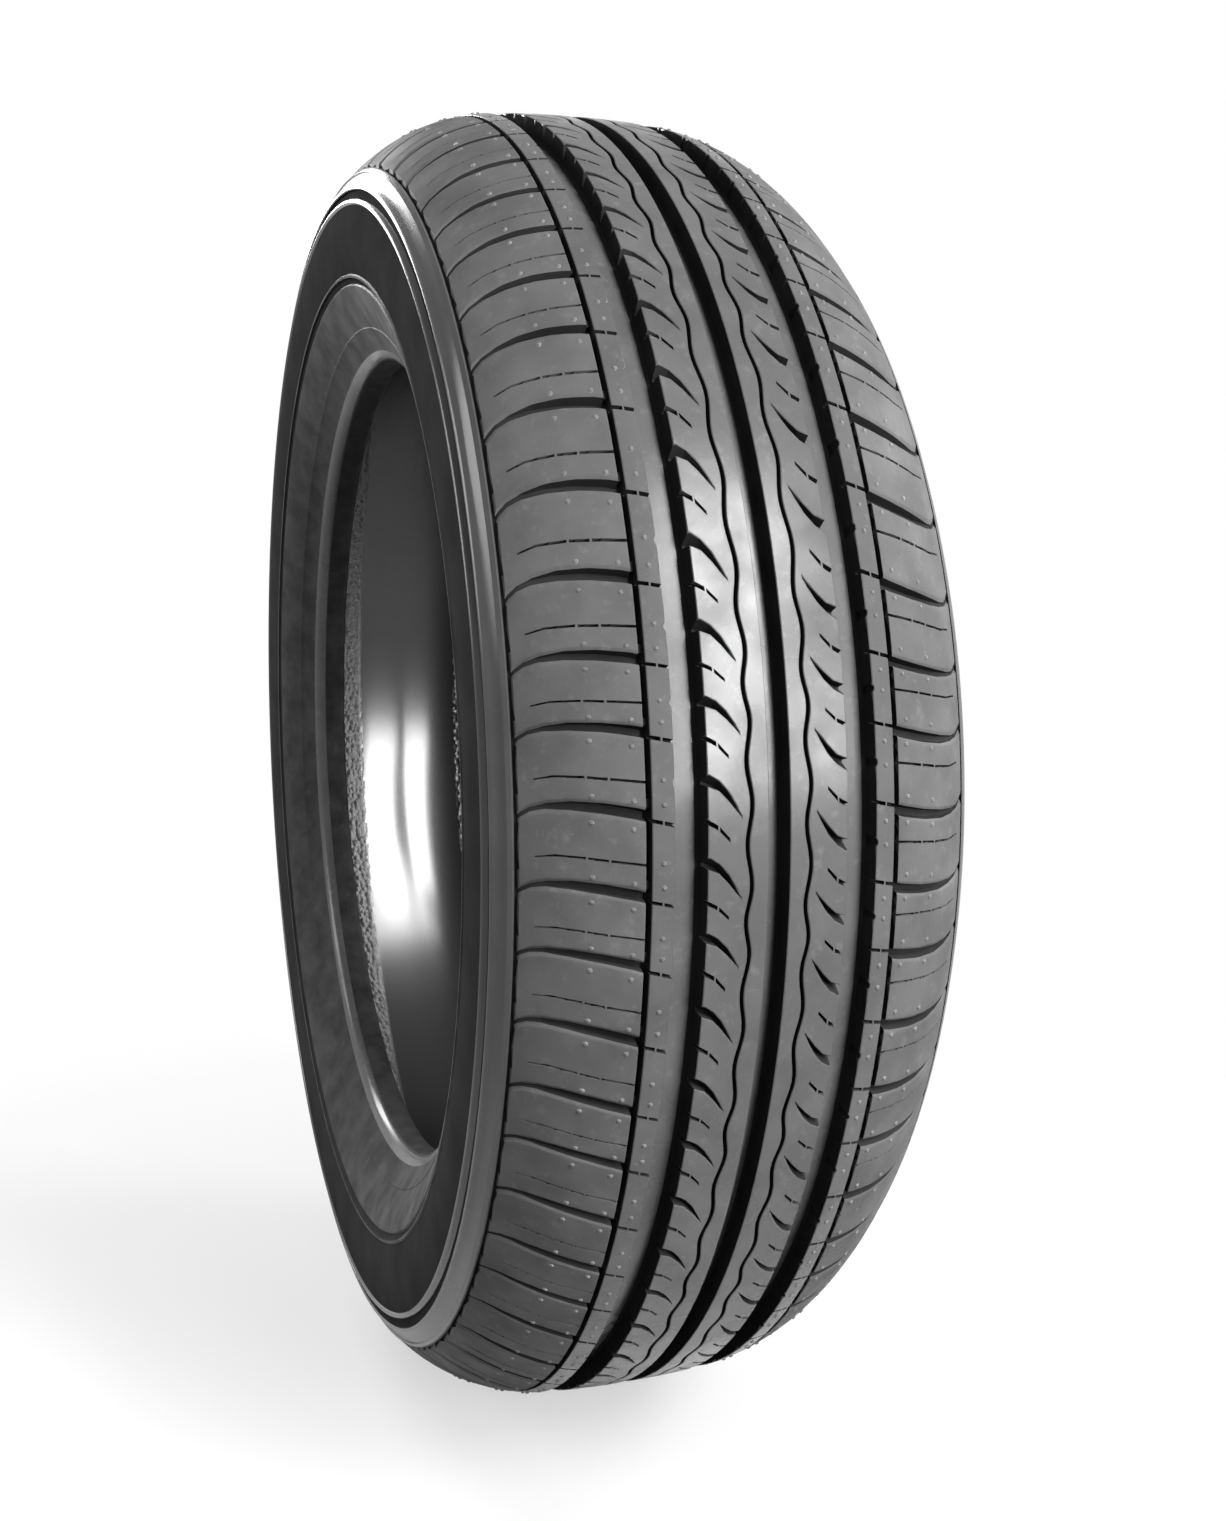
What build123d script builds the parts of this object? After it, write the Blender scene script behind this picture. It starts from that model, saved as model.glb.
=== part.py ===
"""Passenger car tyre: one moulded rubber piece, standing upright on its tread.

Millimetres, +Z up. The origin is the centre of the tyre and Y is its axle line.
Sections are drawn with X as the radius and Y across the tread, then turned about Y.
"""
from build123d import *
from math import asin, cos, degrees, sin, sqrt
import os

# Overall sizes
outer_diameter = 603.0
section_width = 189.0
bead_diameter = 380.2
bead_spread = 152.4

# Tread bands, from the middle of the tread outwards
centre_groove_width = 8.0
inner_rib_width = 22.0
wide_groove_width = 11.5
outer_rib_width = 7.7
narrow_groove_width = 2.0
shoulder_block_width = 37.5

# Tread depths and crown
groove_depth = 8.0
narrow_groove_depth = 5.0
groove_draft = 1.0
crown_arc_radius = 520.0
shoulder_arc_radius = 79.0

# Pitches of the tread: short, middle and long ones in turn, so that the tyre hums on no single note
pitch_order = "LMMMMLLLMSMMSMMSMMSMLM" * 3
pitch_ratio = {"S": 0.87, "M": 1.0, "L": 1.18}
first_pitch_angle = 65.2
half_offset = 3.0

# Cross grooves of the shoulder blocks
cross_groove_width = 3.0
cross_groove_depth = 4.5
cross_groove_rise = 2.0
cross_groove_margin = 3.0

# Sidewall, bead and casing
ring_drop = 15.5
ring_inset = 2.0
widest_height = 57.0
rim_line_height = 32.0
rim_line_inset = 4.0
bead_height = 13.0
bead_width = 17.0
heel_size = 4.0
crown_thickness = 14.0
sidewall_thickness = 8.0

# Flat spot of the soft tread where it stands on the floor
contact_length = 60.0

clear = 6.0

# Places worked out from the sizes
outer_radius = outer_diameter / 2
seat_radius = bead_diameter / 2
half_width = section_width / 2
centre_edge = centre_groove_width / 2
wide_inner = centre_edge + inner_rib_width
wide_outer = wide_inner + wide_groove_width
narrow_inner = wide_outer + outer_rib_width
narrow_outer = narrow_inner + narrow_groove_width
tread_edge = narrow_outer + shoulder_block_width
crown_edge = (wide_inner + wide_outer) / 2


def crown_radius(y):
    """Radius of the tread face at y: a flat middle arc that runs into a round shoulder arc."""
    if abs(y) <= crown_edge:
        return outer_radius - crown_arc_radius + sqrt(crown_arc_radius**2 - y**2)
    slope = asin(crown_edge / crown_arc_radius)
    arc_y = crown_edge - shoulder_arc_radius * sin(slope)
    arc_r = crown_radius(crown_edge) - shoulder_arc_radius * cos(slope)
    return arc_r + sqrt(shoulder_arc_radius**2 - (abs(y) - arc_y) ** 2)


def crown_point(y):
    """The place on the tread face at y, in the section."""
    return (crown_radius(y), y)


def half_outline():
    """Half of the tyre's section, from the tread face round the bead to the inner liner."""
    narrow_middle = (narrow_inner + narrow_outer) / 2
    block_middle = (narrow_outer + tread_edge) / 2
    bead_face = bead_spread / 2
    toe_y = bead_face - bead_width
    shoulder = crown_point(tread_edge)
    widest = (seat_radius + widest_height, half_width)
    tread = [crown_point(y) for y in (0, crown_edge, narrow_middle, block_middle, tread_edge)]
    sidewall = [
        (shoulder[0] - ring_drop, half_width - ring_inset),
        widest,
        (seat_radius + rim_line_height, half_width - rim_line_inset),
    ]
    bead = [
        (seat_radius + heel_size, bead_face),
        (seat_radius, bead_face - heel_size),
        (seat_radius, toe_y),
        (seat_radius + bead_height, toe_y),
    ]
    liner = [
        (widest[0], half_width - sidewall_thickness),
        (outer_radius - crown_thickness, narrow_middle),
        (outer_radius - crown_thickness, 0),
    ]
    return Polyline(*tread, *sidewall, *bead, *liner)


def casing():
    """The whole section turned once round the axle line."""
    half = half_outline()
    outline = Curve() + [half, mirror(half, Plane.XZ)]
    return revolve(make_face(outline), Axis.Y, 360)


def ring_groove(middle_y, width, depth, floor_width):
    """A groove right round the tread, narrower at its floor; with no floor width it is a V."""
    floor = crown_radius(middle_y) - depth
    top = floor + depth + clear
    half_floor = floor_width / 2
    half_top = half_floor + (width - floor_width) / 2 * (top - floor) / depth
    points = [(top, middle_y - half_top), (floor, middle_y - half_floor)]
    if floor_width > 0:
        points.append((floor, middle_y + half_floor))
    points.append((top, middle_y + half_top))
    return revolve(make_face(Polyline(*points, close=True)), Axis.Y, 360)


def ring_grooves():
    """The middle groove, two wide grooves and two narrow grooves of the tread."""
    narrow_y = (narrow_inner + narrow_outer) / 2
    wide_floor = wide_groove_width - 2 * groove_draft
    grooves = [ring_groove(0, centre_groove_width, groove_depth, centre_groove_width - 2 * groove_draft)]
    for side in (-1, 1):
        grooves.append(ring_groove(side * crown_edge, wide_groove_width, groove_depth, wide_floor))
        grooves.append(ring_groove(side * narrow_y, narrow_groove_width, narrow_groove_depth, 0))
    return grooves


def cross_groove(stretch):
    """Cutter for a cross groove of the -Y shoulder: from the narrow groove it runs out at the tread's edge."""
    inner_y = -(narrow_inner + narrow_outer) / 2
    outer = crown_point(-(tread_edge - cross_groove_margin))
    floor = crown_radius(inner_y) - cross_groove_depth
    top = outer_radius + clear
    face = make_face(Polyline((floor, inner_y), outer, (top, outer[1]), (top, inner_y), close=True))
    sector = revolve(face, Axis.Y, degrees(cross_groove_width * stretch / outer_radius))
    upper = (cross_groove_rise + cross_groove_width / 2) * stretch
    return Rot(0, -degrees(upper / outer_radius), 0) * sector


def pitch_angles():
    """Each pitch's start angle and the length, against the middle pitch, of those beside it."""
    total = sum(pitch_ratio[size] for size in pitch_order)
    angle = first_pitch_angle
    rows = []
    for index, size in enumerate(pitch_order):
        rows.append((angle, pitch_ratio[pitch_order[index - 1]], pitch_ratio[size]))
        angle -= 360 * pitch_ratio[size] / total
    return rows


def cross_grooves():
    """The cross grooves of both shoulders; the +Y half is the -Y half turned round on the tread."""
    turn = degrees(half_offset / outer_radius)
    cuts = []
    for angle, above, below in pitch_angles():
        cuts.append(Rot(0, -angle, 0) * cross_groove(above))
        cuts.append(Rot(0, -angle + turn, 0) * Rot(180, 0, 0) * cross_groove(below))
    return cuts


def contact_cut():
    """Block under the flat spot, which the tyre's own weight presses into the tread."""
    floor = sqrt(outer_radius**2 - (contact_length / 2) ** 2)
    return Pos(0, 0, -floor - clear / 2) * Box(2 * contact_length, section_width, clear)


tyre = casing()
tyre = tyre - ring_grooves()
tyre = tyre - cross_grooves()
tyre = tyre - contact_cut()

os.makedirs("parts", exist_ok=True)
export_step(tyre, "parts/tyre.step")
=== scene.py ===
"""Looks of the car tyre: one moulded rubber piece whose tread is modelled pitch by pitch.

The tread is first cut flat, in millimetres: X runs across the tyre, Y up along the tread and Z out of it.
One cell holds one pitch of the -Y half. Copies of it are laid round the tyre, in metres, and welded.
The sidewalls, beads and liner are then pulled from the tread's edges, ring by ring.
"""

from math import asin, cos, hypot, pi, radians, sin, sqrt

import bmesh
import bpy
from mathutils import Matrix, Vector


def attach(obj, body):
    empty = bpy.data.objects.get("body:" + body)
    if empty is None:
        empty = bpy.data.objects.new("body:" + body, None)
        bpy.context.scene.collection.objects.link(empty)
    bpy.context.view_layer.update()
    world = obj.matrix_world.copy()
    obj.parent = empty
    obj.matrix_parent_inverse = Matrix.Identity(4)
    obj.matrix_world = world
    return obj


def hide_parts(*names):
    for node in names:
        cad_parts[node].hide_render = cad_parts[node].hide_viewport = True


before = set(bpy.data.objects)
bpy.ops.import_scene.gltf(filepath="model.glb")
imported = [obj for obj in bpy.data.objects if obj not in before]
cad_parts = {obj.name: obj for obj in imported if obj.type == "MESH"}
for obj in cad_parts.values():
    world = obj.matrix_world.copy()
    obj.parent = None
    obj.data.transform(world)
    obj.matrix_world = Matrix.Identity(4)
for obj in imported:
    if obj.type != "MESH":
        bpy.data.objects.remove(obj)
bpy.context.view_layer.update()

MM = 0.001

# Overall sizes and crown, in millimetres
outer_radius = 301.5
crown_arc_radius = 520.0
shoulder_arc_radius = 79.0
crown_edge = 31.75
tread_edge = 84.7
contact_length = 60.0
floor_drop = sqrt(outer_radius**2 - (contact_length / 2) ** 2)

# Sidewall: the widest place and the arcs above and below it
widest_radius = 247.1
widest_across = 94.3
upper_arc_radius = 47.0
lower_arc_radius = 80.0

# Pitches of the tread
pitch_order = "LMMMMLLLMSMMSMMSMMSMLM" * 3
pitch_ratio = {"S": 0.87, "M": 1.0, "L": 1.18}
first_pitch_angle = 65.2
half_offset = 3.0
ratio_sum = sum(pitch_ratio[size] for size in pitch_order)
pitch_length = 2 * pi * outer_radius / ratio_sum

# The flat cell: one pitch of the -Y half of the tread
cell_top = 17.2
cell_bottom = cell_top - pitch_length
cell_inner = -1.0
cell_outer = -86.6
cell_ends = (cell_bottom, cell_top)
block_depth = 20.0
groove_depth = 8.0
above_face = 1.0
lip = 0.28

# How near two places count as one, the reach of the weld, how upright a normal of the tread face is,
# and the sharpest edge that is smoothed, in degrees
near = 0.001
weld = 0.02
upright = 0.99
smooth_angle = 32.0

# Half the gap that is left open in the middle of the liner, and the slack in finding its edges
liner_gap = 0.5
gap_slack = 0.1

# Finishes of the piece's surfaces, in the order of its material slots
finish_names = [
    "tread", "smooth_rib", "cut", "nub_painted_highlight", "polished_ring", "sidewall", "bead", "butyl_liner",
]
TREAD, RIB, SHADED_CUT, NUB_HIGHLIGHT, RING, SIDEWALL, BEAD, LINER = range(len(finish_names))

# Where the tread changes its finish: across the tyre, on groove floors that light reaches, and by depth,
# where deep faces get a painted shade and proud nubs a painted highlight
rib_edge = 46.1
pale_floors = ((0.0, 2.6), (27.8, 35.7))
shade_depth = 1.0
nub_rise = 0.1


def activate(piece):
    """Makes a piece the only selected one."""
    bpy.ops.object.select_all(action="DESELECT")
    piece.select_set(True)
    bpy.context.view_layer.objects.active = piece


def start_edit(piece):
    """Opens a piece for editing with nothing selected and gives its editable mesh."""
    activate(piece)
    bpy.ops.object.mode_set(mode="EDIT")
    bpy.ops.mesh.select_all(action="DESELECT")
    return bmesh.from_edit_mesh(piece.data)


def end_edit():
    """Closes the piece that is open for editing."""
    bpy.ops.object.mode_set(mode="OBJECT")


def loft(name, sections):
    """A closed solid through sections that each list the same corners, from an n-sided primitive."""
    bpy.ops.object.select_all(action="DESELECT")
    bpy.ops.mesh.primitive_circle_add(vertices=len(sections[0]), radius=1, fill_type="NGON")
    piece = bpy.context.object
    piece.name = name
    for vertex, corner in zip(piece.data.vertices, sections[0]):
        vertex.co = corner
    bpy.ops.object.mode_set(mode="EDIT")
    bpy.ops.mesh.select_all(action="SELECT")
    for before, after in zip(sections, sections[1:]):
        bpy.ops.mesh.extrude_region_move(TRANSFORM_OT_translate={"value": (0, 0, 0)})
        mesh = bmesh.from_edit_mesh(piece.data)
        for vertex in [v for v in mesh.verts if v.select]:
            nearest = min(range(len(before)), key=lambda i: (Vector(before[i]) - vertex.co).length)
            vertex.co = after[nearest]
        bmesh.update_edit_mesh(piece.data)
    bpy.ops.mesh.select_all(action="SELECT")
    bpy.ops.mesh.normals_make_consistent(inside=False)
    end_edit()
    return piece


def combine(piece, other, how):
    """Cuts another piece out of this one, or adds it, and removes it."""
    activate(piece)
    modifier = piece.modifiers.new("combine", "BOOLEAN")
    modifier.operation = how
    modifier.solver = "EXACT"
    modifier.object = other
    bpy.ops.object.modifier_apply(modifier=modifier.name)
    bpy.data.objects.remove(other)


def trough(middle, width, depth, floor_share, skew):
    """Section of a groove: places and heights from one lip round the floor to the other."""
    half = width / 2
    floor = half * floor_share
    flare = (half - floor) * above_face / depth
    lean = skew * above_face / depth
    return [
        (middle - half - flare - lean, above_face),
        (middle + skew - floor, -depth),
        (middle + skew + floor, -depth),
        (middle + half + flare - lean, above_face),
    ]


def cross_cutter(name, floor_share, stations):
    """Cutter that runs across the tread through stations of (across, along, width, depth, skew)."""
    sections = []
    for across, along, width, depth, skew in stations:
        corners = trough(along, width, depth, floor_share, skew)
        sections.append([(across, place, height) for place, height in corners])
    return loft(name, sections)


def rib_block():
    """One pitch of the -Y half as a plain block with its ring grooves."""
    outline = [
        (cell_inner, -groove_depth), (-2.5, -groove_depth), (-3.4, -7.1), (-4.0, 0),
        (-26.0, 0), (-26.7, -7.0), (-27.9, -groove_depth),
        (-35.6, -groove_depth), (-36.8, -7.0), (-37.5, 0),
        (-45.1, 0), (-45.4, -4.6), (-46.1, -5.2), (-46.8, -4.6), (-47.2, 0),
        (-tread_edge, 0), (-85.0, -1.6), (-85.8, -1.6), (-86.1, 0),
        (cell_outer, 0), (cell_outer, -block_depth), (cell_inner, -block_depth),
    ]
    return loft("tread_cell", [[(x, y, z) for x, z in outline] for y in cell_ends])


def wavy_sipe():
    """Cutter for the wavy sipe of the inner rib, one wave to a pitch."""
    middle, swing, crest = -11.0, 0.9, 2.5
    width, depth, floor_share = 1.5, 5.0, 0.5
    steps, extra = 12, 2
    sections = []
    for step in range(-extra, steps + extra + 1):
        along = cell_bottom + pitch_length * step / steps
        across = middle + swing * cos(2 * pi * (along - crest) / pitch_length)
        corners = trough(across, width, depth, floor_share, 0)
        sections.append([(place, along, height) for place, height in corners])
    return loft("wavy_sipe", sections)


def rib_channel():
    """Cutter for the half-round channel in the wall of the outer rib."""
    bpy.ops.object.select_all(action="DESELECT")
    bpy.ops.mesh.primitive_cylinder_add(vertices=10, radius=2.0, depth=8.0, location=(-36.2, 10.7, -3.0))
    return bpy.context.object


def groove_cutters():
    """Cutters for the wide cuts of one cell: channel, wavy sipe, cross groove and notch."""
    return [
        rib_channel(),
        wavy_sipe(),
        cross_cutter("cross_groove", 0.6, [
            (-45.7, -0.5, 4.2, 5.0, 0), (-50.0, 0.7, 4.2, 4.8, 0), (-60.0, 2.6, 4.0, 4.4, 0),
            (-70.0, 3.7, 3.5, 3.4, 0), (-77.0, 3.5, 2.6, 2.2, 0), (-80.5, 2.7, 1.5, 1.3, 0),
        ]),
        cross_cutter("cross_groove_edges", 0.4, [
            (-45.8, -0.5, 5.8, 1.1, 0), (-50.0, 0.7, 5.8, 1.1, 0), (-60.0, 2.6, 5.7, 1.1, 0),
            (-70.0, 3.7, 5.3, 1.1, 0), (-77.0, 3.5, 4.7, 1.1, 0), (-81.5, 2.3, 4.2, 1.0, 0),
            (-84.0, 0.3, 4.4, 1.2, 0), (-85.5, -1.6, 5.2, 1.4, 0),
        ]),
        cross_cutter("rib_notch", 0.25, [
            (-28.3, 11.7, 4.6, 5.6, -1.2), (-25.2, 10.7, 4.1, 5.4, -1.1), (-22.0, 9.1, 3.5, 4.8, -0.9),
            (-18.5, 5.3, 3.1, 3.8, -0.8), (-15.6, 1.0, 1.8, 2.2, -0.4), (-14.0, -1.6, 0.6, 1.0, 0),
        ]),
    ]


def sipe_cutters():
    """Cutters for the thin sipes of one cell, which small bridges interrupt."""
    return [
        cross_cutter("block_sipe_outer", 0.4, [
            (-80.5, 13.2, 0.7, 1.2, 0), (-75.0, 14.2, 0.85, 2.4, 0), (-65.9, 13.6, 0.95, 2.4, 0),
        ]),
        cross_cutter("block_sipe_middle", 0.4, [(-65.2, 13.5, 0.95, 2.4, 0), (-58.9, 12.7, 1.0, 2.4, 0)]),
        cross_cutter("block_sipe_inner", 0.4, [(-58.2, 12.65, 1.0, 2.4, 0), (-46.4, 11.2, 1.0, 2.6, 0)]),
        cross_cutter("rib_sipe_outer", 0.5, [(-46.4, -1.6, 1.4, 3.5, 0), (-41.7, -2.6, 1.4, 3.5, 0)]),
        cross_cutter("rib_sipe_inner", 0.5, [(-41.1, -2.75, 1.4, 3.5, 0), (-36.2, -3.9, 1.4, 3.5, 0)]),
        cross_cutter("short_sipe_outer", 0.4, [(-27.5, -2.3, 1.9, 3.5, 0), (-22.5, -5.1, 1.7, 3.5, 0)]),
        cross_cutter("short_sipe_inner", 0.4, [(-21.9, -5.6, 1.7, 3.5, 0), (-18.2, -9.6, 1.4, 2.6, 0)]),
    ]


def tie_bar():
    """Low bar that ties the outer rib to the shoulder block across the narrow groove."""
    bpy.ops.object.select_all(action="DESELECT")
    bpy.ops.mesh.primitive_cube_add(size=1, location=(-46.15, 4.0, -4.4), scale=(3.0, 3.0, 4.0))
    return bpy.context.object


def vent_nubs():
    """Stubs of trimmed rubber left by the mould's vents on the blocks and the outer rib."""
    on_block = [(-51.0, 4.9), (-64.0, 6.9), (-51.2, -4.6), (-64.2, -2.2)]
    on_rib = [(-41.4, 11.8), (-41.2, 3.4)]
    size = {"vertices": 6, "radius1": 1.6, "radius2": 0.5, "depth": 1.2}
    nubs = []
    for across, along in on_block + on_rib:
        bpy.ops.object.select_all(action="DESELECT")
        bpy.ops.mesh.primitive_cone_add(location=(across, along, 0), **size)
        nubs.append(bpy.context.object)
    return nubs


def on_end(item):
    """Whether an edge or face lies in one of the two ends of the cell."""
    return any(all(abs(v.co.y - end) < near for v in item.verts) for end in cell_ends)


def soften_lips(cell):
    """Bevels the edges where the walls of the wide cuts meet the tread face."""
    mesh = start_edit(cell)
    for edge in mesh.edges:
        level = all(abs(v.co.z) < near for v in edge.verts)
        outermost = any(v.co.x < near - tread_edge for v in edge.verts)
        tops = sum(face.normal.z > upright for face in edge.link_faces)
        edge.select_set(level and tops == 1 and not outermost and not on_end(edge))
    bmesh.update_edit_mesh(cell.data)
    bpy.ops.mesh.bevel(offset=lip, segments=1, affect="EDGES", clamp_overlap=False)
    end_edit()


def bisect(piece, place, normal):
    """Adds a line of edges where a plane crosses the piece."""
    start_edit(piece)
    bpy.ops.mesh.select_all(action="SELECT")
    bpy.ops.mesh.bisect(plane_co=place, plane_no=normal)
    end_edit()


def open_sheet(cell):
    """Deletes the block's ends, sides and underside, and turns the rest into triangles."""
    mesh = start_edit(cell)
    sides = (cell_inner, cell_outer)
    for face in mesh.faces:
        at_side = any(all(abs(v.co.x - side) < near for v in face.verts) for side in sides)
        under = all(v.co.z < near - block_depth for v in face.verts)
        face.select_set(on_end(face) or at_side or under)
    bmesh.update_edit_mesh(cell.data)
    bpy.ops.mesh.delete(type="FACE")
    bpy.ops.mesh.select_all(action="SELECT")
    bpy.ops.mesh.quads_convert_to_tris(quad_method="BEAUTY", ngon_method="BEAUTY")
    end_edit()


def tread_cell():
    """One pitch of the -Y half, cut and softened, as an open sheet."""
    cell = rib_block()
    for cutter in groove_cutters():
        combine(cell, cutter, "DIFFERENCE")
    soften_lips(cell)
    for cutter in sipe_cutters():
        combine(cell, cutter, "DIFFERENCE")
    combine(cell, tie_bar(), "UNION")
    for nub in vent_nubs():
        combine(cell, nub, "UNION")
    # Extra lines of edges, so that the wide faces bend with the crown and round the tyre
    for third in (1, 2):
        bisect(cell, (0, cell_bottom + pitch_length * third / 3, 0), (0, 1, 0))
    for across in (-55, -63, -71, -78):
        bisect(cell, (across, 0, 0), (1, 0, 0))
    open_sheet(cell)
    return cell


def crown_radius(across):
    """Radius of the tread face: a flat middle arc that runs into a round shoulder arc."""
    if abs(across) <= crown_edge:
        return outer_radius - crown_arc_radius + sqrt(crown_arc_radius**2 - across**2)
    slope = asin(crown_edge / crown_arc_radius)
    arc_across = crown_edge - shoulder_arc_radius * sin(slope)
    arc_radius = crown_radius(crown_edge) - shoulder_arc_radius * cos(slope)
    return arc_radius + sqrt(shoulder_arc_radius**2 - (abs(across) - arc_across) ** 2)


def laid_cell(cell, angle, above, below, turned):
    """A copy of the cell laid on the tyre; the +Y half is the -Y half turned round on the tread."""
    copy = cell.copy()
    copy.data = cell.data.copy()
    bpy.context.scene.collection.objects.link(copy)
    side = -1 if turned else 1
    start = radians(angle) - (half_offset / outer_radius if turned else 0)
    for vertex in copy.data.vertices:
        across = vertex.co.x * side
        along = vertex.co.y * side
        around = start + along * (above if along > 0 else below) / outer_radius
        radius = crown_radius(across) + vertex.co.z
        vertex.co = (radius * MM * cos(around), across * MM, radius * MM * sin(around))
    return copy


def tread_finish(place):
    """Finish of a face of the tread at a place in millimetres, with painted shade on deep faces that light
    hardly reaches and a painted highlight on nubs.
    """
    across = abs(place.y)
    depth = crown_radius(across) - hypot(place.x, place.z)
    # Nubs that stand proud of the face get a paler grey, a painted highlight
    if depth < -nub_rise:
        return NUB_HIGHLIGHT
    # Deep faces, except the floors that light reaches, get the painted shade of the cuts
    if depth > shade_depth and not any(inner < across < outer for inner, outer in pale_floors):
        return SHADED_CUT
    return RIB if across < rib_edge else TREAD


def whole_tread(cell):
    """Both halves of the tread, pitch by pitch, welded into one sheet."""
    angle = first_pitch_angle
    copies = []
    for index, size in enumerate(pitch_order):
        above, below = pitch_ratio[pitch_order[index - 1]], pitch_ratio[size]
        for turned in (False, True):
            copies.append(laid_cell(cell, angle, above, below, turned))
        angle -= 360 * below / ratio_sum
    bpy.data.objects.remove(cell)
    activate(copies[0])
    for copy in copies:
        copy.select_set(True)
    bpy.ops.object.join()
    tread = bpy.context.object
    tread.name = "tyre_rubber"
    tread.data.name = "tyre_rubber"
    start_edit(tread)
    bpy.ops.mesh.select_all(action="SELECT")
    bpy.ops.mesh.remove_doubles(threshold=weld * MM)
    end_edit()
    for face in tread.data.polygons:
        face.material_index = tread_finish(face.center / MM)
    return tread


def sidewall_across(radius):
    """Place of the sidewall's plain surface across the tyre."""
    arc = upper_arc_radius if radius > widest_radius else lower_arc_radius
    return widest_across - arc + sqrt(arc**2 - (radius - widest_radius) ** 2)


def casing_section():
    """Section of one side from the tread's edge to the middle of the liner: (radius, across, finish)."""
    # Outside: radius, how far it stands proud of the plain surface, and finish
    outside = [
        (272.9, 0.8, RING), (272.1, 1.0, RING), (271.6, 0.2, RING),
        (270.0, 0.3, RING), (268.4, 0.5, RING), (267.3, 0.9, RING),
        (266.5, 1.5, RING), (265.7, 1.8, RING), (264.9, 1.6, RING), (264.4, 0.9, RING),
        (264.1, -0.4, SIDEWALL), (262.4, -0.6, SIDEWALL), (260.9, -0.6, SIDEWALL),
        (260.4, 0.6, RING), (259.7, 1.1, RING), (258.9, 1.1, RING), (258.3, 0.6, RING), (257.9, 0.0, RING),
        (256.0, 0.0, SIDEWALL), (250.0, 0.0, SIDEWALL), (244.0, 0.0, SIDEWALL), (238.0, 0.0, SIDEWALL),
        (232.0, 0.0, SIDEWALL), (228.2, 0.0, SIDEWALL),
        (227.6, 0.7, BEAD), (226.6, 0.8, BEAD), (226.0, -0.2, SIDEWALL), (224.0, -0.4, SIDEWALL),
        (223.2, 0.4, BEAD), (222.2, 0.6, BEAD), (216.0, 0.4, BEAD), (210.0, 0.0, BEAD), (205.2, 0.0, BEAD),
        (204.7, 0.4, BEAD), (203.8, 0.4, BEAD), (203.3, 0.0, BEAD), (199.0, 0.0, BEAD),
    ]
    # The heel rows take the ribs' lighter grey, a painted highlight along the heel besides its gloss
    bead = [
        (195.0, 75.8, BEAD), (192.6, 74.8, RIB), (190.8, 72.8, RIB), (190.1, 70.2, RIB),
        (190.1, 62.0, BEAD), (190.6, 60.0, BEAD), (192.2, 58.8, BEAD), (196.0, 58.6, BEAD),
        (201.5, 59.4, BEAD),
    ]
    liner = [
        (206.0, 62.0), (213.0, 67.8), (222.0, 74.6), (232.0, 80.6), (241.0, 84.6),
        (249.0, 85.6), (257.0, 83.6), (266.0, 78.0), (275.0, 69.4), (281.0, 60.6),
        (285.0, 50.0), (286.6, 30.0), (287.3, 15.0), (287.5, 5.0), (287.5, liner_gap),
    ]
    section = [(radius, sidewall_across(radius) + proud, finish) for radius, proud, finish in outside]
    return section + bead + [(radius, across, LINER) for radius, across in liner]


def pull_casing(tyre):
    """Pulls the tread's edges down the sidewalls, round the beads and up the liner to the middle."""
    for side in (-1, 1):
        mesh = start_edit(tyre)
        bpy.ops.mesh.select_mode(type="EDGE")
        for edge in mesh.edges:
            edge.select_set(edge.is_boundary and edge.verts[0].co.y * side > tread_edge * MM)
        bmesh.update_edit_mesh(tyre.data)
        last_radius, last_across = crown_radius(cell_outer), -cell_outer
        for radius, across, finish in casing_section():
            step = (0, side * (across - last_across) * MM, 0)
            bpy.ops.mesh.extrude_edges_move(TRANSFORM_OT_translate={"value": step})
            shrink = radius / last_radius
            bpy.ops.transform.resize(value=(shrink, 1, shrink), center_override=(0, 0, 0))
            mesh = bmesh.from_edit_mesh(tyre.data)
            for edge in mesh.edges:
                if edge.select:
                    edge.link_faces[0].material_index = finish
            last_radius, last_across = radius, across
        end_edit()


def join_halves(tyre):
    """Closes the two gaps in the middle: first the liner's, then the wider one of the tread."""
    for gap in (liner_gap, -cell_inner):
        reach = (gap + gap_slack) * MM
        mesh = start_edit(tyre)
        for edge in mesh.edges:
            edge.select_set(edge.is_boundary and all(abs(v.co.y) < reach for v in edge.verts))
        bmesh.update_edit_mesh(tyre.data)
        bpy.ops.mesh.bridge_edge_loops()
        end_edit()


def finish_mesh(tyre):
    """Presses the flat spot, turns all faces outwards and smooths them up to the moulded edges."""
    for vertex in tyre.data.vertices:
        vertex.co.z = max(vertex.co.z, -floor_drop * MM)
    start_edit(tyre)
    bpy.ops.mesh.select_all(action="SELECT")
    bpy.ops.mesh.normals_make_consistent(inside=False)
    end_edit()
    activate(tyre)
    bpy.ops.object.shade_smooth_by_angle(angle=radians(smooth_angle))
    modifier = tyre.modifiers.new("face_weights", "WEIGHTED_NORMAL")
    modifier.keep_sharp = True
    bpy.ops.object.modifier_apply(modifier=modifier.name)


tyre = whole_tread(tread_cell())
for name in finish_names:
    tyre.data.materials.append(bpy.data.materials.new(name + "_rubber"))
pull_casing(tyre)
join_halves(tyre)
finish_mesh(tyre)
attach(tyre, "root")
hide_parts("tyre")


def linear(hex_colour):
    """An sRGB hex colour as linear red, green, blue and alpha."""
    values = [int(hex_colour[i:i + 2], 16) / 255 for i in (1, 3, 5)]
    return [v / 12.92 if v <= 0.04045 else ((v + 0.055) / 1.055) ** 2.4 for v in values] + [1.0]


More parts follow.
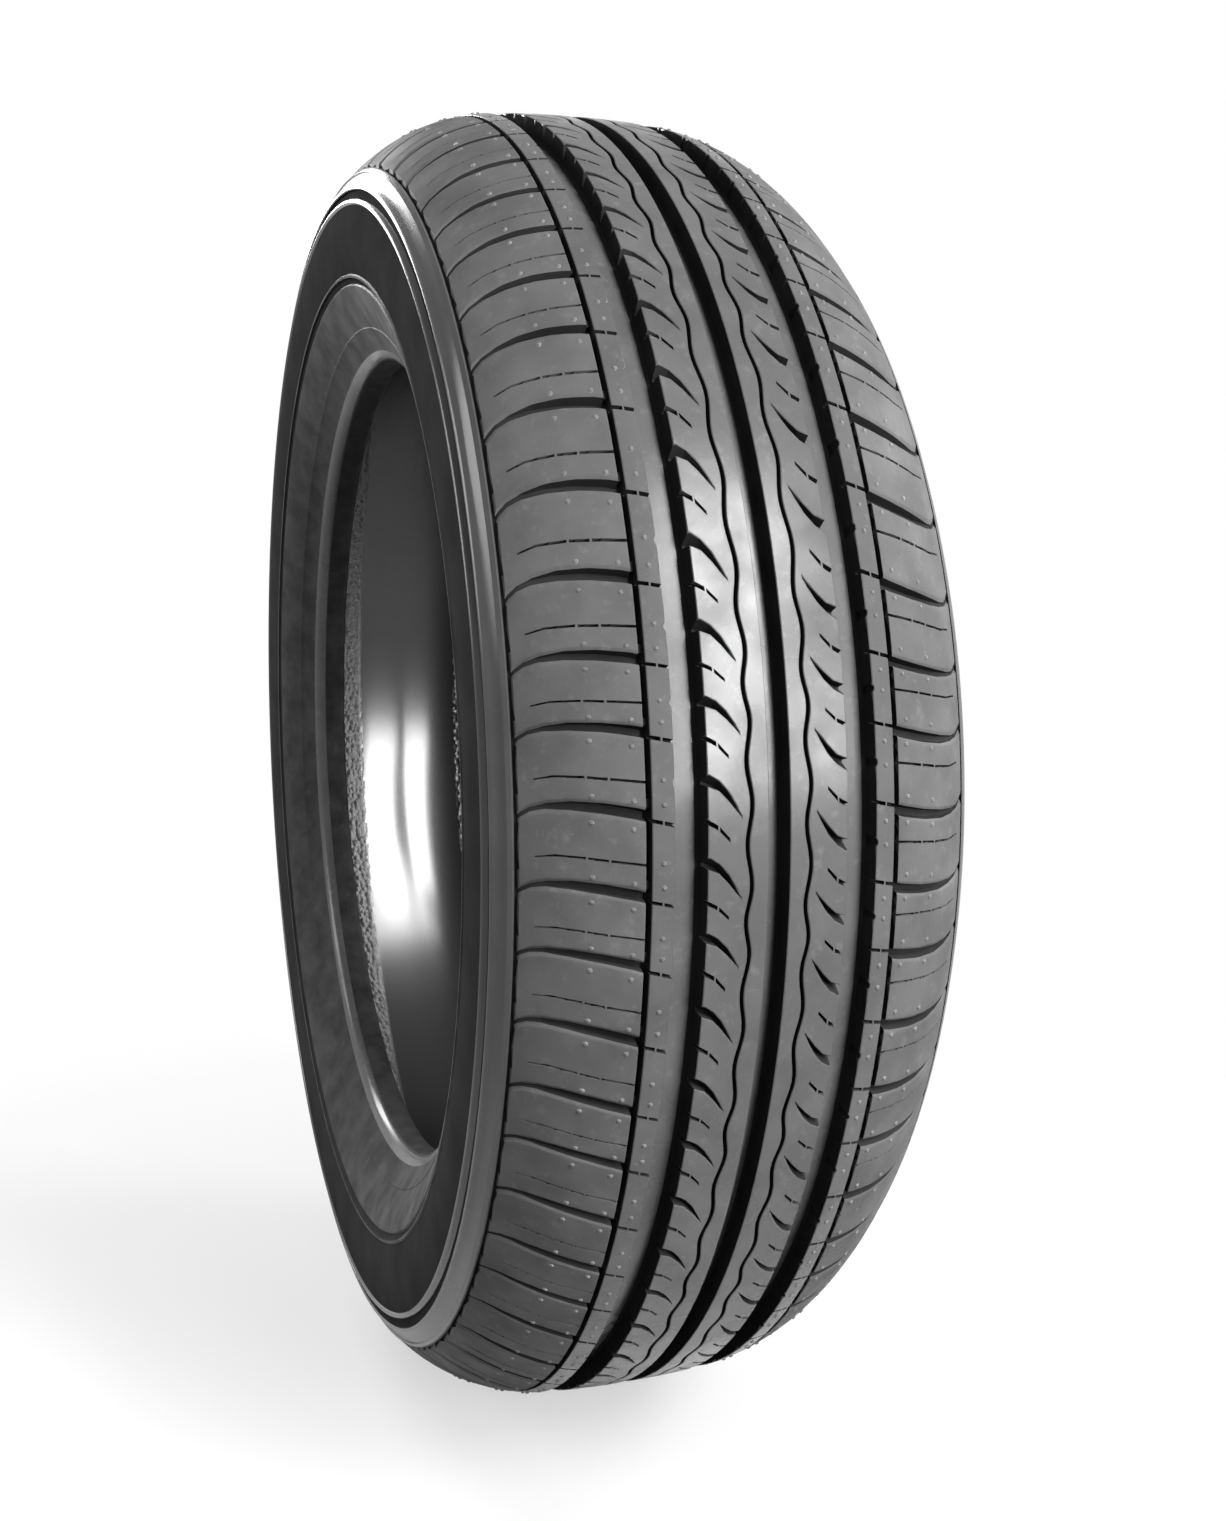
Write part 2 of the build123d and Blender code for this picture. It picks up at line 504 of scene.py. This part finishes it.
def node(tree, kind, inputs, **settings):
    """Adds a node; an input is a value or the output that feeds it."""
    made = tree.nodes.new("ShaderNode" + kind)
    for name, value in settings.items():
        setattr(made, name, value)
    for name, value in inputs.items():
        if isinstance(value, bpy.types.NodeSocket):
            tree.links.new(value, made.inputs[name])
        else:
            made.inputs[name].default_value = value
    return made


# Patterns in the rubber: specks of dust, moulded grain, and the liner's knurled net and where it starts
dust_mm = 6.0
grain_mm = 0.7
grain_height_mm = 0.06
knurl_mm = 3.2
knurl_height_mm = 0.22
smooth_to_mm = 30.0
knurled_from_mm = 33.0


def rubber(finish, greys, fleck, smudge_mm, roughness, specular):
    """Rubber whose grey and gloss wander with faint smudges and dusty flecks over a fine moulded grain."""
    dark, light = greys
    smooth, rough = roughness
    material = tyre.data.materials[finish]
    material.use_nodes = True
    tree = material.node_tree
    place = node(tree, "TexCoord", {}).outputs["Object"]
    smudges = {"Vector": place, "Scale": 1 / (smudge_mm * MM), "Detail": 4.0}
    smudge = node(tree, "TexNoise", smudges).outputs["Fac"]
    spread = node(tree, "MapRange", {"Value": smudge, "From Min": 0.35, "From Max": 0.65}).outputs["Result"]
    mottled = {"Fac": spread, "Color1": linear(dark), "Color2": linear(light)}
    grey = node(tree, "MixRGB", mottled).outputs["Color"]
    specks = {"Vector": place, "Scale": 1 / (dust_mm * MM), "Detail": 8.0, "Roughness": 0.75}
    speck = node(tree, "TexNoise", specks).outputs["Fac"]
    dustiest = {"Value": speck, "From Min": 0.55, "From Max": 0.8, "To Max": 0.5}
    dust = node(tree, "MapRange", dustiest).outputs["Result"]
    dusty = node(tree, "MixRGB", {"Fac": dust, "Color1": grey, "Color2": linear(fleck)})
    gloss = node(tree, "MapRange", {"Value": spread, "To Min": rough, "To Max": smooth})
    grain = node(tree, "TexNoise", {"Vector": place, "Scale": 1 / (grain_mm * MM), "Detail": 2.0})
    raised = {"Height": grain.outputs["Fac"], "Strength": 0.25, "Distance": grain_height_mm * MM}
    relief = node(tree, "Bump", raised)
    shader = tree.nodes["Principled BSDF"]
    shader.inputs["Specular IOR Level"].default_value = specular
    tree.links.new(dusty.outputs["Color"], shader.inputs["Base Color"])
    tree.links.new(gloss.outputs["Result"], shader.inputs["Roughness"])
    tree.links.new(relief.outputs["Normal"], shader.inputs["Normal"])


def liner_rubber():
    """Butyl liner: glossy in the middle, with the press bag's knurled net towards the shoulders."""
    material = tyre.data.materials[LINER]
    material.use_nodes = True
    tree = material.node_tree
    place = node(tree, "TexCoord", {}).outputs["Object"]
    across = node(tree, "SeparateXYZ", {"Vector": place}).outputs["Y"]
    away = node(tree, "Math", {0: across}, operation="ABSOLUTE").outputs["Value"]
    edge = {"Value": away, "From Min": smooth_to_mm * MM, "From Max": knurled_from_mm * MM}
    knurled = node(tree, "MapRange", edge).outputs["Result"]
    net = node(tree, "TexVoronoi", {"Vector": place, "Scale": 1 / (knurl_mm * MM)}).outputs["Distance"]
    raised = {"Height": net, "Strength": knurled, "Distance": knurl_height_mm * MM}
    relief = node(tree, "Bump", raised)
    gloss = node(tree, "MapRange", {"Value": knurled, "To Min": 0.12, "To Max": 0.36}).outputs["Result"]
    shader = tree.nodes["Principled BSDF"]
    shader.inputs["Base Color"].default_value = linear("#1a1a1a")
    shader.inputs["Specular IOR Level"].default_value = 0.5
    shader.inputs["Anisotropic"].default_value = 1.0
    drawn = node(tree, "Tangent", {}, direction_type="RADIAL", axis="Y")
    tree.links.new(drawn.outputs["Tangent"], shader.inputs["Tangent"])
    tree.links.new(gloss, shader.inputs["Roughness"])
    tree.links.new(relief.outputs["Normal"], shader.inputs["Normal"])


# Shoulder blocks: mid-dark matte grey with faint smudges and specks of dust
rubber(TREAD, ("#5a5a5a", "#666666"), "#8c8c8c", smudge_mm=22, roughness=(0.5, 0.6), specular=0.08)
# Ribs and bead heel: the same rubber from a smoother part of the mould, so that they shine towards a lamp;
# on the heel its grey, lighter than the bead's, is also a painted highlight
rubber(RIB, ("#545454", "#606060"), "#8c8c8c", smudge_mm=22, roughness=(0.16, 0.32), specular=0.35)
# Walls and floors of cuts, save the floors that light reaches: a near black grey as painted shade, so that
# the pattern draws in near black
rubber(SHADED_CUT, ("#303030", "#383838"), "#404040", smudge_mm=22, roughness=(0.6, 0.7), specular=0.0)
# Trimmed nubs: a paler grey as a painted highlight on their lit tips, beside the moulded face
rubber(NUB_HIGHLIGHT, ("#6e6e6e", "#7e7e7e"), "#8c8c8c", smudge_mm=5, roughness=(0.4, 0.5), specular=0.2)
# Raised rings: smoother from the polished mould, so that they draw bright lines
rubber(RING, ("#404040", "#484848"), "#525252", smudge_mm=30, roughness=(0.15, 0.2), specular=0.5)
# Sidewall: a darker and duller rubber, so that only its raised rings catch the light
rubber(SIDEWALL, ("#404040", "#484848"), "#505050", smudge_mm=30, roughness=(0.75, 0.85), specular=0.0)
# Bead and rim strip: mottled, where the mould's release agent has dried
rubber(BEAD, ("#2c2c2c", "#424242"), "#626262", smudge_mm=14, roughness=(0.45, 0.55), specular=0.12)
# Liner: near black and glossy, so that the lamps show in it as bright bands
liner_rubber()

# Camera, as fitted to the photo; the frame is upright, so its height spans the sensor's width
focal_pixels = 1732.0
photo_height = 1521.0
camera_azimuth = radians(70.92)
camera_elevation = radians(7.31)
camera_distance = 871.8 * MM
camera_right = 41.7 * MM
camera_up = -3.6 * MM
back = Vector((sin(camera_azimuth), -cos(camera_azimuth), 0)) * cos(camera_elevation)
back.z = sin(camera_elevation)
right = Vector((cos(camera_azimuth), sin(camera_azimuth), 0))
up = back.cross(right)
camera = bpy.data.objects.new("camera", bpy.data.cameras.new("camera"))
bpy.context.scene.collection.objects.link(camera)
camera.data.lens = focal_pixels / photo_height * camera.data.sensor_width
camera.matrix_world = Matrix((right, up, back)).transposed().to_4x4()
camera.location = back * camera_distance + right * camera_right + up * camera_up
bpy.context.scene.camera = camera


def white_where_seen(tree):
    """1 for rays that show the background: straight to the camera, mirrored or through glass."""
    path = node(tree, "LightPath", {}).outputs
    direct_or_mirrored = {0: path["Is Camera Ray"], 1: path["Is Glossy Ray"]}
    mirrored = node(tree, "Math", direct_or_mirrored, operation="MAXIMUM").outputs["Value"]
    any_of_them = {0: mirrored, 1: path["Is Transmission Ray"]}
    return node(tree, "Math", any_of_them, operation="MAXIMUM").outputs["Value"]


# Floor: pale near the tyre, where its shadow falls, and white like the background further off.
# Its size and the reach where it turns white are in metres; the shadow is lifted by a share of white.
floor_size = 12.0
fade_from = 0.3
fade_to = 0.65
shadow_lift = 0.55
bpy.ops.object.select_all(action="DESELECT")
bpy.ops.mesh.primitive_plane_add(size=floor_size, location=(0, 0, -floor_drop * MM))
floor = bpy.context.object
floor.name = "floor"
paint = bpy.data.materials.new("white_floor_paint")
paint.use_nodes = True
floor.data.materials.append(paint)
tree = paint.node_tree
near_paint = tree.nodes["Principled BSDF"]
seen = white_where_seen(tree)
tones = {"Fac": seen, "Color1": linear("#505050"), "Color2": linear("#f4f4f4")}
tone = node(tree, "MixRGB", tones).outputs["Color"]
tree.links.new(tone, near_paint.inputs["Base Color"])
near_paint.inputs["Roughness"].default_value = 0.9
near_paint.inputs["Specular IOR Level"].default_value = 0.1
place = node(tree, "TexCoord", {}).outputs["Object"]
reach = node(tree, "VectorMath", {0: place}, operation="LENGTH").outputs["Value"]
fade = {"Value": reach, "From Min": fade_from, "From Max": fade_to}
far = node(tree, "MapRange", fade).outputs["Result"]
direct = node(tree, "LightPath", {}).outputs["Is Camera Ray"]
lifted = node(tree, "Math", {0: direct, 1: shadow_lift}, operation="MULTIPLY").outputs["Value"]
pale = node(tree, "Math", {0: far, 1: lifted}, operation="MAXIMUM").outputs["Value"]
shown = node(tree, "Math", {0: seen, 1: pale}, operation="MULTIPLY").outputs["Value"]
far_paint = node(tree, "Emission", {"Color": (1, 1, 1, 1), "Strength": 1.0})
paints = {0: shown, 1: near_paint.outputs["BSDF"], 2: far_paint.outputs["Emission"]}
mixed = node(tree, "MixShader", paints).outputs["Shader"]
tree.links.new(mixed, tree.nodes["Material Output"].inputs["Surface"])

# Plain studio: a weak even light all round; the background is white, and mirrors see its ceiling dimmer.
# The wall turns into the ceiling between two heights of the ray's direction.
ambient = 0.30
wall_top = 0.3
ceiling_edge = 0.6
ceiling_share = 0.3
world = bpy.data.worlds.new("studio")
bpy.context.scene.world = world
world.use_nodes = True
tree = world.node_tree
direction = node(tree, "TexCoord", {}).outputs["Generated"]
height = node(tree, "SeparateXYZ", {"Vector": direction}).outputs["Z"]
room = {
    "Value": height, "From Min": wall_top, "From Max": ceiling_edge, "To Min": 1.0, "To Max": ceiling_share,
}
wall = node(tree, "MapRange", room).outputs["Result"]
direct = node(tree, "LightPath", {}).outputs["Is Camera Ray"]
pale = node(tree, "Math", {0: wall, 1: direct}, operation="MAXIMUM").outputs["Value"]
seen = node(tree, "Math", {0: white_where_seen(tree), 1: pale}, operation="MULTIPLY").outputs["Value"]
shown = {0: seen, 1: 1 - ambient, 2: ambient}
strength = node(tree, "Math", shown, operation="MULTIPLY_ADD").outputs["Value"]
tree.nodes["Background"].inputs["Color"].default_value = (1, 1, 1, 1)
tree.links.new(strength, tree.nodes["Background"].inputs["Strength"])


def softbox(name, place, aim, width, height, power, lean=0):
    """An area lamp that faces a point; lean tips it to its right, in degrees."""
    lamp = bpy.data.objects.new(name, bpy.data.lights.new(name, "AREA"))
    bpy.context.scene.collection.objects.link(lamp)
    lamp.data.shape = "RECTANGLE"
    lamp.data.size = width
    lamp.data.size_y = height
    lamp.data.energy = power
    turn = (Vector(aim) - Vector(place)).to_track_quat("-Z", "Y").to_matrix().to_4x4()
    lamp.matrix_world = Matrix.Translation(place) @ turn @ Matrix.Rotation(radians(-lean), 4, "Z")


# Tall strips draw the bands in the liner, glow and sheen light the front of the tread, and the other
# lamps light the rest of the tyre
softbox("strip_left", (1.80, 0.660, 0.83), (0, 0.660, 0.83), 0.13, 1.66, 24, lean=6.2)
softbox("strip_right", (1.80, 0.462, 0.75), (0, 0.462, 0.75), 0.12, 1.50, 20, lean=4.5)
softbox("glow", (1.80, 0.88, 0.30), (0.3, 0, 0.05), 0.16, 0.6, 7)
softbox("sheen", (2.24, 1.00, 1.90), (0, 0, 0), 0.6, 1.1, 44)
softbox("left", (-0.60, -1.90, 0.80), (0, 0, 0), 0.9, 0.9, 13)
softbox("right", (-0.10, 2.30, 1.25), (0, 0, 0), 0.9, 0.9, 28)
softbox("back", (-1.75, -0.55, 0.95), (0, 0, 0.2), 1.0, 0.7, 24)

bpy.context.scene.view_settings.view_transform = "Standard"
